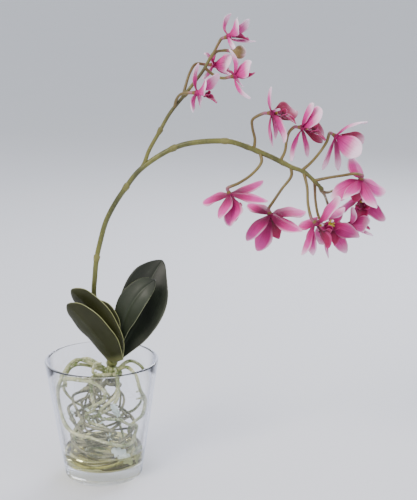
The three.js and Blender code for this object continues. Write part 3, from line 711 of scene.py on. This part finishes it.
# Leaves
leafShape = {"clasp": [(0, 0.62), (0.14, 0.8), (0.3, 0.95), (0.48, 1), (0.66, 0.92), (0.82, 0.74),
                       (0.93, 0.56), (1, 0.4)],
             "pointed": [(0, 0.24), (0.14, 0.42), (0.3, 0.76), (0.48, 1), (0.66, 0.99), (0.82, 0.78),
                         (0.93, 0.46), (1, 0.1)],
             "broad": [(0, 0.24), (0.14, 0.42), (0.3, 0.76), (0.48, 1), (0.66, 1), (0.82, 0.78),
                         (0.93, 0.42), (1, 0.1)],
             "spoon": [(0, 0.22), (0.14, 0.32), (0.3, 0.58), (0.48, 0.9), (0.66, 1), (0.82, 0.82),
                         (0.93, 0.5), (1, 0.1)],
             "cup": 0.22, "groove": 0.55, "wave": 0.35, "edge": 0.6, "core": 2.1,
             "stations": 56, "columns": 23}
leaves = [
  {"route": [[10, -4.8, 91], [3.3, -9, 105.4], [-4.5, -14, 118.2], [-12.9, -17, 129.6], [-22.5, -18, 140.1]],
    "face": [[0.4, 0.8, 0.4], [0.3, 0.9, 0.2]], "width": 25, "end": "clasp"},
  {"route": [[9.6, -1.6, 93.5], [6.6, -4, 108.5], [0, -5, 121.9], [-9.8, -6.5, 136.9], [-20.6, -7, 148.1]],
    "face": [[0.4, 0.8, 0.4], [0.3, 0.9, 0.2]], "width": 24, "end": "clasp"},
  {"route": [[7.6, 1, 98], [6.6, 1, 108], [4.5, 2, 117], [0.8, 2.5, 127], [-5, 2.5, 137]],
    "face": [[0.4, 0.85, 0.3], [0.35, 0.9, 0.2]], "width": 21, "end": "pointed"},
  {"route": [[8, 1, 90], [16, 7, 98], [25, 14, 112.5], [31.6, 21, 128.5], [36.8, 27, 146],
      [45.6, 32, 160.6]],
    "face": [[-0.3, -0.8, 0.5], [-0.2, -0.9, 0.3]], "width": 37, "end": "broad"},
  {"route": [[9, 1.6, 94], [13, 2.6, 103], [16.6, 4.6, 117], [22.8, 7, 131.9], [31.2, 10, 142.8],
      [40.8, 14, 149.5]],
    "face": [[-0.4, -0.7, 0.5], [-0.3, -0.9, 0.3]], "width": 22, "end": "spoon"},
]


def widthAt(table, tip, share):
    width = through(table, share)
    if share > tip:
        width *= math.sqrt(max(0.0, 1 - ((share - tip) / (1 - tip)) ** 2))
    return width


def leafBlade(number, leaf, material):
    look = leafShape
    line = routeThrough(leaf["route"], 1.0)
    low, high = Vector(leaf["face"][0]), Vector(leaf["face"][1])
    count = look["stations"]
    stations = []
    for n in range(count):
        share = 1 - (1 - n / (count - 1) * 0.996) ** 1.35
        centre, along = lineAt(line, share)
        across = low.lerp(high, share).cross(along).normalized()
        tip = 0.86 if leaf["end"] == "clasp" else 0.97
        half = widthAt(look[leaf["end"]], tip, share) * leaf["width"] / 2
        stations.append((centre, across, along.cross(across), max(half, 0.35), share))

    def shape(share, side, half):
        ends = math.sin(math.pi * min(share, 1.0)) ** 0.5
        wave = look["wave"] * math.sin(share * 15 + number * 2 + (1.6 if side > 0 else 0)) * side * side
        groove = look["groove"] * math.exp(-(side * 9) ** 2)
        return look["cup"] * half * side * side - groove * ends + wave * ends
    skin = Skin()
    blade(skin, stations, look["columns"], look["edge"], look["core"], shape)
    return skin.build(f"leafBlade{number}", material, [f"leaf_{number}"])


for number, leaf in enumerate(leaves, 1):
    leafBlade(number, leaf, leafOlive if number <= 3 else leafGreySheen)
print("leaves made")


# Blooms
hub = {"back": 3.6, "reach": 1.9, "sides": 24,
       "profile": [(0.9, -1.5), (1.7, -1.35), (2.2, -0.6), (2.3, 0.4), (1.9, 1.3), (1.5, 2.2), (1.32, 3.0),
                   (1.25, 3.6)]}
tepal = {"sepal": {"outline": [(0, 0.26), (0.26, 0.8), (0.5, 1), (0.76, 0.8), (0.92, 0.42), (1, 0.1)],
                   "tip": 0.96, "cup": 0.28, "ruffle": 0.25},
         "petal": {"outline": [(0, 0.15), (0.24, 0.68), (0.5, 1), (0.74, 0.92), (0.91, 0.54), (1, 0.12)],
                   "tip": 0.96, "cup": 0.16, "ruffle": 0.5},
         "start": 1.7, "within": 0.998, "edge": 0.28, "core": 0.62, "stations": 28, "columns": 15}
column = {"places": (0, 1.4, 2.8, 4.2, 5.1), "head": 0.22, "sides": 14, "spread": (1.0, 0.85)}
callus = {"foot": (0, -2.4, 0.2), "knobs": 8, "places": (0.6, 1.1, 1.6), "radius": 0.48, "sides": 10}
tepals = [("dorsal", 28, 11.5, "sepal"), ("left", 27, 11.5, "sepal"), ("right", 27, 11.5, "sepal"),
          ("leftPetal", 26, 16.5, "petal"), ("rightPetal", 26, 16.5, "petal")]
# Each bloom: centre, heading (0 faces -Y, 90 faces +X), nod above the level, roll and size. A tepal
# has its angle round the bloom, its lean forward at base and tip, and any twist, in degrees. Slim is
# how wide the sepals are against those of a full bloom, crest how large the callus is, and lip has
# the lip's angle and leans where they aren't the usual ones. Other programs worked out the angles and
# the centres from places read by eye in the photo, and some were changed by hand afterwards.
blooms = [
  {"name": "a", "at": [126.4, -8, 279], "heading": 88, "nod": 1, "roll": -12, "size": 0.94, "slim": 0.85,
    "dorsal": [120, -18, 18, 10], "left": [271, -17, 24, 10], "right": [296, 12, 4, 26],
    "leftPetal": [218, 28, 12, -10], "rightPetal": [345, 44, 48, -60],
    "stalk": [[114, 0, 251.4], [114.6, -1, 259], [112.6, -4, 268], [112.6, -6, 274]]},
  {"name": "b", "at": [148.7, -5, 268.2], "heading": 84, "nod": -5, "roll": -12, "size": 0.94, "slim": 0.85,
    "dorsal": [119, 0, 31, 27], "left": [263, -36, 13, -39], "right": [285, 12, 19, 23],
    "leftPetal": [125, 9, 55, 13], "rightPetal": [326, 54, 24, -10],
    "stalk": [[133, 0, 242.6], [136.5, 0, 250], [137.6, -1, 258], [139.4, -3, 265]]},
  {"name": "c", "at": [174.4, 6, 260], "heading": 83, "nod": -32, "roll": -9, "size": 0.96, "slim": 0.85,
    "dorsal": [104, 5, 55, -32], "left": [265, 8, 18, 36], "right": [276, 34, 44, 34],
    "leftPetal": [168, 48, 60], "rightPetal": [9, 47, 57],
    "stalk": [[148.5, 0, 235.6], [155, -1, 241.5], [161, -4.5, 249.5], [166.5, -1, 257]]},
  {"name": "d", "at": [191.3, -9, 230.7], "heading": 189, "nod": -46, "roll": -17, "size": 0.96,
    "dorsal": [72, 31, 1, 8], "left": [241, 8, -16, -20], "right": [295, -11, -11, 59],
    "leftPetal": [162, 47, 21, -9], "rightPetal": [-23, 35, 54, 9],
    "stalk": [[158, 0, 228.5], [168, -2, 231], [178, -7, 233.6], [186.5, -12.5, 235.8]]},
  {"name": "e", "at": [96.4, -15, 220.9], "heading": 126, "nod": -63, "roll": 20, "size": 1,
    "dorsal": [116, 16, 11, 14], "left": [163, 19, 37], "right": [257, 2, 7, 12],
    "leftPetal": [244, 35, 7, 30], "rightPetal": [3, 0, 20],
    "stalk": [[118.5, 0, 249], [119.4, -4, 243], [113, -9, 235.5], [103, -16, 229.8]]},
  {"name": "f", "at": [126.6, 2, 202.6], "heading": 148, "nod": -60, "roll": 47, "size": 1.06,
    "dorsal": [74, -4, 25, 18], "left": [241, 24, 1, -16], "right": [328, -16, 24, -7],
    "leftPetal": [177, 7, 41, -7], "rightPetal": [-20, 52, 43, -2], "lip": [262, 84, 76],
    "stalk": [[141, 0, 238.5], [141.6, 1, 232], [134.5, -1.5, 222.5], [128.6, -5, 214.5]]},
  {"name": "g", "at": [158.6, -22, 201.3], "heading": 112, "nod": -43, "roll": 23, "size": 1.02,
    "dorsal": [94, 32, 32, 29], "left": [320, 28, 32, -12], "right": [319, 23, 75, -61],
    "leftPetal": [146, -28, -2], "rightPetal": [20, 2, 17, 28],
    "stalk": [[150.5, 0, 234.6], [152.7, -6, 224.8], [152.8, -15, 214.3]]},
  {"name": "h", "at": [169.6, 8, 194], "heading": 39, "nod": 11, "roll": 18, "size": 0.92, "crest": 1.7,
    "dorsal": [39, -9, -18, 22], "left": [276, -21, 37, -51], "right": [312, 24, 7, 45],
    "leftPetal": [228, 24, 24, 30], "rightPetal": [-20, 40, 44, -40], "lip": [276, 40, 6],
    "stalk": [[158.5, 0, 228], [159.3, 4, 221], [160.4, 10, 212], [163, 15, 200]]},
  {"name": "i", "at": [189, 26, 190.4], "heading": 94, "nod": 7, "roll": -15, "size": 0.78,
    "dorsal": [122, 4, 3, 29], "left": [272, 51, 63, -3], "right": [307, 21, 29, 28],
    "leftPetal": [156, 36, 23, -35], "rightPetal": [-20, 56, 50, 35],
    "stalk": [[161.8, 0, 225.3], [163.6, 3, 220.8], [166.5, 9, 216.9], [170.5, 25, 208], [175, 30, 196]]},
  {"name": "j", "at": [197.5, 30, 209.7], "heading": -1, "nod": -41, "roll": 6, "size": 0.9,
    "dorsal": [87, 25, 24, 20], "left": [291, -9, -10, 70], "right": [269, 10, 23, -54],
    "leftPetal": [157, 46, 34, 17], "rightPetal": [331, 27, 33, 23],
    "stalk": [[163.6, 2, 220.8], [167.9, 8, 218.2], [175, 20, 217.4], [186, 30, 217.6]]},
  {"name": "k", "at": [95.6, 0, 332.5], "heading": 80, "nod": 16, "roll": 13, "size": 0.72, "slim": 0.75,
    "dorsal": [70, -38, 74, -11], "left": [218, 0, 35, -37], "right": [300, 54, 83, -10],
    "leftPetal": [158, 57, 13, 2], "rightPetal": [56, 77, 42, 24],
    "stalk": [[81.9, 0, 316.7], [85.6, 0, 322.6], [87.4, 0, 326.2]]},
  {"name": "l", "at": [99.8, -6, 305.1], "heading": 103, "nod": 9, "roll": -6, "size": 0.76, "slim": 0.75,
    "dorsal": [108, 15, -30, 34], "left": [232, -17, 62, -7], "right": [321, 28, 27, -22],
    "leftPetal": [148, 27, 20, -23], "rightPetal": [7, 50, 50], "lip": [270, 66, 124],
    "stalk": [[78.5, 0, 310.4], [82.5, 2, 306.6], [88, 0.5, 303.6], [92.5, -4, 303.4]]},
  {"name": "m", "at": [85, 20, 310.7], "heading": 96, "nod": -2, "roll": -3, "size": 0.8, "slim": 0.75,
    "dorsal": [112, -8, 33, 3], "left": [200, -29, -22, -14], "right": [151, -17, -31, 26],
    "leftPetal": [163, 29, 27, -18], "rightPetal": [334, 52, 35, -50],
    "stalk": [[62.5, 0, 289.5], [64.5, 4, 297], [67.7, 9, 306.4], [72, 16, 311.8]]},
  {"name": "n", "at": [73.2, -12, 293.7], "heading": 78, "nod": -1, "roll": -9, "size": 0.74, "slim": 0.9,
    "dorsal": [87, -28, 38, -22], "left": [204, -20, 29, 24], "right": [318, 0, -6],
    "leftPetal": [138, 44, 10], "rightPetal": [49, 53, 33, -13],
    "stalk": [[56.5, 0, 282], [58, -3, 288], [61.5, -8, 292.5]]},
]
bud = {
  "at": [99, 6.5, 321.5], "heading": 96, "nod": -8, "roll": 0, "length": 9.4, "radius": 5,
  "rings": 16, "sides": 60, "lobes": (5, 0.022), "neck": [(1.75, 1.2), (1.35, 2.1), (1.2, 2.9), (1.15, 3.6)],
  "stalk": [[82.6, 0, 317.8], [87, 3, 321.6], [91.5, 5.6, 322.2]],
}
ahead = Vector((0, -1, 0))
farPetalShade = {"a": 1.0, "b": 1.0, "c": 1.0}  # painted shade: how deeply the far petal's inner face is coloured deep crimson where it lies in shade, over its own deeper inner tint
faintFlush = 0.22
paleTipsAndLight = {"a": 0.5, "b": 0.6, "c": 0.9, "d": 0.5, "e": 0.15, "f": 0.08, "g": 0.45, "h": 0.4, "i": 0.6,
          "j": 0.35, "k": 0.85, "l": 0.8, "m": 0.85, "n": 0.85}  # how far the pale tips reach in, set by painted light: further on lit blooms, less on shaded ones


def bloomSeat(bloom):
    turn = (Matrix.Rotation(math.radians(bloom["heading"]), 4, "Z")
            @ Matrix.Rotation(math.radians(-bloom["nod"]), 4, "X")
            @ Matrix.Rotation(math.radians(bloom["roll"]), 4, "Y"))
    return Matrix.Translation(bloom["at"]) @ turn


class LobeLine:  # the middle line of a tepal or lobe, in the bloom's own frame
    def __init__(self, angle, start, length, lean):
        self.out = Vector((math.cos(math.radians(angle)), 0, math.sin(math.radians(angle))))
        self.start = start
        self.length = length
        self.lean = lean

    def slope(self, share):
        return math.radians(self.lean[0] + (self.lean[1] - self.lean[0]) * share)

    def spot(self, share):
        steps = 12
        point = self.start.copy()
        for i in range(steps):
            slope = self.slope(share * (i + 0.5) / steps)
            point += (self.out * math.cos(slope) + ahead * math.sin(slope)) * (share * self.length / steps)
        return point


def lobe(skin, seat, line, width, look, twist, phase, count, columns, thickness, tone=0.0, insideTintAndShade=1.0):
    side = ahead.cross(line.out)
    turn3 = seat.to_3x3()
    stations = []
    for n in range(count):
        share = 1 - (1 - n / (count - 1) * 0.995) ** 1.4
        slope = line.slope(share)
        along = line.out * math.cos(slope) + ahead * math.sin(slope)
        face = ahead * math.cos(slope) - line.out * math.sin(slope)
        angle = math.radians(twist[0] + (twist[1] - twist[0]) * share)
        spin = Matrix.Rotation(angle, 3, along)
        half = max(widthAt(look["outline"], look["tip"], share) * width / 2, 0.2)
        stations.append((seat @ line.spot(share), turn3 @ (spin @ side), turn3 @ (spin @ face), half, share))

    def shape(share, across, half):
        ends = min(1.0, share * 3)
        ruffle = look["ruffle"] * math.sin(share * 11 + phase + across * 1.5) * abs(across) ** 3
        crease = -0.3 * math.exp(-(across * 6) ** 2) * math.sin(math.pi * min(share * 1.1, 1.0))
        return look["cup"] * half * across * across + (ruffle + crease) * ends
    blade(skin, stations, columns, thickness[0], thickness[1], shape, tone, insideTintAndShade)


def perianth(bloom):
    skin = Skin()
    seat = bloomSeat(bloom)
    # painted light and shade: each bloom's pale-tip reach, paler on lit blooms and deeper pink on shaded ones
    tint = paleTipsAndLight[bloom["name"]]
    for name, length, width, kind in tepals:
        angle, leanBase, leanTip = bloom[name][:3]
        twist = bloom[name][3] if len(bloom[name]) > 3 else 0
        turn = math.radians(angle)
        layer = -0.5 if kind == "petal" else 0.7
        start = Vector((tepal["start"] * math.cos(turn), layer, tepal["start"] * math.sin(turn)))
        line = LobeLine(angle, start, length * bloom["size"] * tepal["within"], (leanBase, leanTip))
        # the far petal of a, b and c gets painted shade on its inner face; every other tepal gets only its
        # faint inner tint
        insideTintAndShade = farPetalShade.get(bloom["name"], faintFlush) if name == "rightPetal" else faintFlush
        wide = width * bloom["size"] * (bloom.get("slim", 1) if kind == "sepal" else 1)
        lobe(skin, seat, line, wide, tepal[kind], (0, twist), chance.uniform(0, 6),
             tepal["stations"], tepal["columns"], (tepal["edge"], tepal["core"]), tint, insideTintAndShade)
    turnedRings(skin, hub["profile"], hub["sides"], seat, (0.3, -0.4), tint, (3, 0.05))
    post = [seat @ Vector((0, 0.2 - 0.97 * d, 1.2 + 0.24 * d)) for d in column["places"]]
    sweep(skin, post, lambda share: 1.0 + column["head"] * share ** 3, column["sides"], 1.0, column["spread"])
    name = bloom["name"]
    return skin.build(f"bloom{name.upper()}Petals", petalPink, [f"bloom_{name}"])


lipShape = {"outline": [(0, 0.28), (0.3, 0.52), (0.58, 1), (0.8, 0.7), (0.93, 0.34), (1, 0.14)], "tip": 0.94,
            "cup": 0.35, "ruffle": 0.6, "length": 18, "width": 11, "hang": (270, 82, 48)}
sideLobe = {"outline": [(0, 0.6), (0.5, 0.9), (1, 0.8)], "tip": 0.45, "cup": 0.0, "ruffle": 0.35,
            "length": 6.6, "width": 6.6}


def lip(bloom):
    skin = Skin()
    seat = bloomSeat(bloom)
    size = bloom["size"]
    angle, *lean = bloom.get("lip", lipShape["hang"])
    claw = LobeLine(angle, Vector((0, -1.95, -1.2)), lipShape["length"] * size, lean)
    lobe(skin, seat, claw, lipShape["width"] * size, lipShape, (0, 0), chance.uniform(0, 6),
         26, 15, (0.35, 0.7))
    for side in (-1, 1):
        start = claw.spot(0.3)
        start.x = 1.4 * side
        wing = LobeLine(90 - 50 * side, start, sideLobe["length"] * size, (30, 30))
        lobe(skin, seat, wing, sideLobe["width"] * size, sideLobe, (70 * side, 70 * side),
             chance.uniform(0, 6), 16, 11, (0.35, 0.6))
    crest = Vector(callus["foot"])
    for k in range(callus["knobs"]):  # the pale callus, a ring of knobs round the column's foot
        turn = 2 * math.pi * (k + 0.5) / callus["knobs"]
        out = Vector((math.sin(turn), -0.75, math.cos(turn)))
        big = bloom.get("crest", 1.0)
        knob = [seat @ (crest + out * d * big) for d in callus["places"]]
        sweep(skin, knob, lambda share: (callus["radius"] - 0.12 * share) * big, callus["sides"], 0.95)
    name = bloom["name"]
    return skin.build(f"bloom{name.upper()}Lip", lipCrimson, [f"lip_{name}"])


for bloom in blooms:
    perianth(bloom)
    lip(bloom)
print("blooms made")


# Flower spike and bud
stalk = {"spike": 1.9, "middle": 2.05, "spikeTip": 1.5, "branch": 1.35, "pedicel": 1.2,
         "sides": 16, "step": 1.3}
spikeRoute = [
  [7.4, 3.8, 100], [6, 9, 107], [3.5, 11, 112], [-2.6, 10, 125], [-5.2, 6, 139.6], [-3.8, 1.5, 156],
  [-2.1, 0, 169.8], [1.2, 0, 183.8], [5.3, 0, 197.7], [11.9, 0, 210.7], [20.5, 0, 223.5], [29.1, 0, 234.6],
  [39.3, 0, 243.1], [54.3, 0, 251.9], [67.7, 0, 256.1], [83.5, 0, 258.2],
]
spikeTipRoute = [
  [81, 0, 258], [96, 0, 257.4], [108.6, 0, 253.6], [116.7, 0, 250.4], [126, 0, 246.4],
  [134.8, 0, 242], [141.7, 0, 238.6], [150.5, 0, 235.1], [158.5, 0, 228.1], [164, 0, 222.4],
]
branchRoute = [
  [32.1, 0, 237.9], [34.2, 0, 241.4], [37.7, 0, 250.6], [45.3, 0, 264.1], [53.2, 0, 277.9],
  [64.3, 0, 291.6], [71.5, 0, 300.9], [77, 0, 308.1], [81.9, 0, 316.7], [84, 0, 320.2],
]


def behind(bloom, distance):
    return bloomSeat(bloom) @ Vector((0, distance, 0))


sheath = {"rows": 12, "columns": 15, "wrap": 150, "under": 0.06, "skin": 0.24, "belly": 0.28, "flare": 0.3}


def sheathOn(skin, line, share, radius, length, tone):  # a dry bract that wraps the stem
    rows, columns = sheath["rows"], sheath["columns"]
    spot = share * (len(line) - 1)
    facing = Vector((0, -1, 0.4))
    grids = [[], []]
    for n in range(rows):
        s = n / (rows - 1)
        place = (spot + (s - 0.3) * length / stalk["step"]) / (len(line) - 1)
        centre, along = lineAt(line, min(max(place, 0), 0.999))
        facing = (facing - along * facing.dot(along)).normalized()
        across = along.cross(facing)
        wrap = math.radians(sheath["wrap"]) * (1 - s ** 1.7) + 0.05
        for grid, layer in zip(grids, (sheath["skin"], sheath["under"])):
            lift = radius + layer + sheath["belly"] * math.sin(math.pi * s) + sheath["flare"] * s
            row = []
            for c in range(columns):
                turn = wrap * (2 * c / (columns - 1) - 1)
                out = facing * math.cos(turn) + across * math.sin(turn)
                row.append(skin.point(centre + out * lift, s, turn / math.pi, layer, tone))
            grid.append(row)
    skin.joinSheets(grids[1], grids[0])


def nodeShares(route, line, places):  # where along the fine line each point of the route lies
    shares = []
    for place in places:
        spot = Vector(route[place])
        nearest = min(range(len(line)), key=lambda k: (line[k] - spot).length)
        shares.append(nearest / (len(line) - 1))
    return shares


def stemRadius(sizes, knuckles, length):  # (share, radius) pairs, and a knuckle at each joint
    def radiusAt(share):
        swell = sum(0.3 * math.exp(-((share - k) * length / 1.7) ** 2) for k in knuckles)
        return through(sizes, share) + swell
    return radiusAt


def flowerSpike():
    skin = Skin()
    dry = Skin()
    mainRoute = spikeRoute[:-1] + spikeTipRoute[1:]
    main = routeThrough(mainRoute, stalk["step"])
    knuckles = nodeShares(mainRoute, main, [6, 10, 13, 16, 17, 19, 21, 22, 23])
    length = len(main) * stalk["step"]
    sizes = [(0, stalk["spike"]), (0.5, stalk["spike"]), (0.75, stalk["middle"]),
             (0.88, stalk["middle"] - 0.1), (0.95, stalk["spikeTip"]), (1, stalk["spikeTip"] - 0.2)]
    sweep(skin, main, stemRadius(sizes, knuckles, length), stalk["sides"])
    branch = routeThrough(branchRoute, stalk["step"])
    forks = nodeShares(branchRoute, branch, [3, 5])
    sizes = [(0, stalk["branch"] + 0.15), (0.5, stalk["branch"]), (1, stalk["branch"] - 0.2)]
    sweep(skin, branch, stemRadius(sizes, forks, len(branch) * stalk["step"]), 12, 0.1)
    for bloom in blooms + [bud]:
        ends = [tuple(behind(bloom, hub["back"] + hub["reach"])), tuple(behind(bloom, hub["back"] + 0.1))]
        line = routeThrough([tuple(p) for p in bloom["stalk"]] + ends, 1.0)
        sweep(skin, line, lambda share: stalk["pedicel"] * (1.05 - 0.2 * math.sin(math.pi * share)), 12, 0.5)
    for share in knuckles[:3]:
        sheathOn(dry, main, share, stalk["spike"] - 0.1, 7, 0.2)
    sheathOn(dry, main, nodeShares(mainRoute, main, [15])[0] - 0.012, 1.75, 7, 0.2)
    for share in forks:
        sheathOn(dry, branch, share, stalk["branch"], 6, 0.3)
    dry.build("stemSheaths", sheathDry, [])
    return skin.build("flowerStem", stemOlive, ["flower_spike"])


flowerSpike()


def fatBud():
    skin = Skin()
    seat = bloomSeat(bud)
    length, radius = bud["length"], bud["radius"]
    ball = [math.radians(6 + 9 * n) for n in range(bud["rings"])]
    profile = [(radius * 0.98 * math.sin(a), -length * (0.49 + 0.48 * math.cos(a))) for a in ball]
    profile += [(radius * 0.5, 0.5)] + bud["neck"]
    turnedRings(skin, profile, bud["sides"], seat, (1.0, 0.0), 0.0, bud["lobes"])
    skin.marks["tone"] = []
    for along, across in zip(skin.marks["along"], skin.marks["across"]):  # pale where the tips meet in front
        front = min(max((along - 0.5) / 0.5, 0), 1)
        skin.marks["tone"].append(min(1, front ** 1.8 + 0.6 * front * max(0, -across) ** 4))
    return skin.build("sideBud", budBrown, ["bud"])


fatBud()
print("flower spike and bud made")


# Stage, camera and lamps
stage = {"floor": 60.0, "drop": 0.0004, "tint": "#e3e4e8", "shade": "#dcdee3",
         "sky": "#e8ecf4", "skyStrength": 1.05}


def plainFloor():
    deselect()
    bpy.ops.mesh.primitive_plane_add(size=stage["floor"], location=(0, 0, -stage["drop"]))
    floor = bpy.context.object
    floor.name = "floor"
    make = Finish("floorPale")
    fine = make.noise(3, 2)
    body = make.blend(fine * 0.5, colour(stage["tint"]), colour(stage["shade"]))
    floor.data.materials.append(make.done(make.surface({"Base Color": body, "Roughness": 0.6})))


def lamp(name, place, aim, size, power, tint):
    light = bpy.data.lights.new(name, "AREA")
    light.energy = power
    light.size = size
    light.color = colour(tint)[:3]
    holder = bpy.data.objects.new(name, light)
    holder.location = place
    holder.rotation_euler = (Vector(aim) - Vector(place)).to_track_quat("-Z", "Y").to_euler()
    bpy.context.scene.collection.objects.link(holder)


view = {"place": (0.081, -0.860, 0.386), "tilt": 13.7, "lens": 85.97, "sensor": 36}


def viewer():
    lens = bpy.data.cameras.new("viewer")
    lens.sensor_fit = "VERTICAL"
    lens.sensor_height = view["sensor"]
    lens.lens = view["lens"]
    holder = bpy.data.objects.new("viewer", lens)
    holder.location = view["place"]
    holder.rotation_euler = (math.radians(90 - view["tilt"]), 0, 0)
    bpy.context.scene.collection.objects.link(holder)
    bpy.context.scene.camera = holder


def sky():
    world = bpy.data.worlds.new("studio")
    world.use_nodes = True
    back = world.node_tree.nodes["Background"]
    back.inputs["Color"].default_value = colour(stage["sky"])
    back.inputs["Strength"].default_value = stage["skyStrength"]
    bpy.context.scene.world = world


plainFloor()
viewer()
sky()
lamp("keyLamp", (-0.55, -0.75, 1.15), (0.08, 0, 0.2), 0.6, 16, "#fff6ee")
lamp("fillLamp", (1.1, -0.7, 0.6), (0.1, 0, 0.2), 0.9, 3, "#e6ecff")
lamp("rimLamp", (0.5, 0.9, 0.9), (0.1, 0, 0.22), 0.6, 12, "#f2f4ff")
print("stage set")
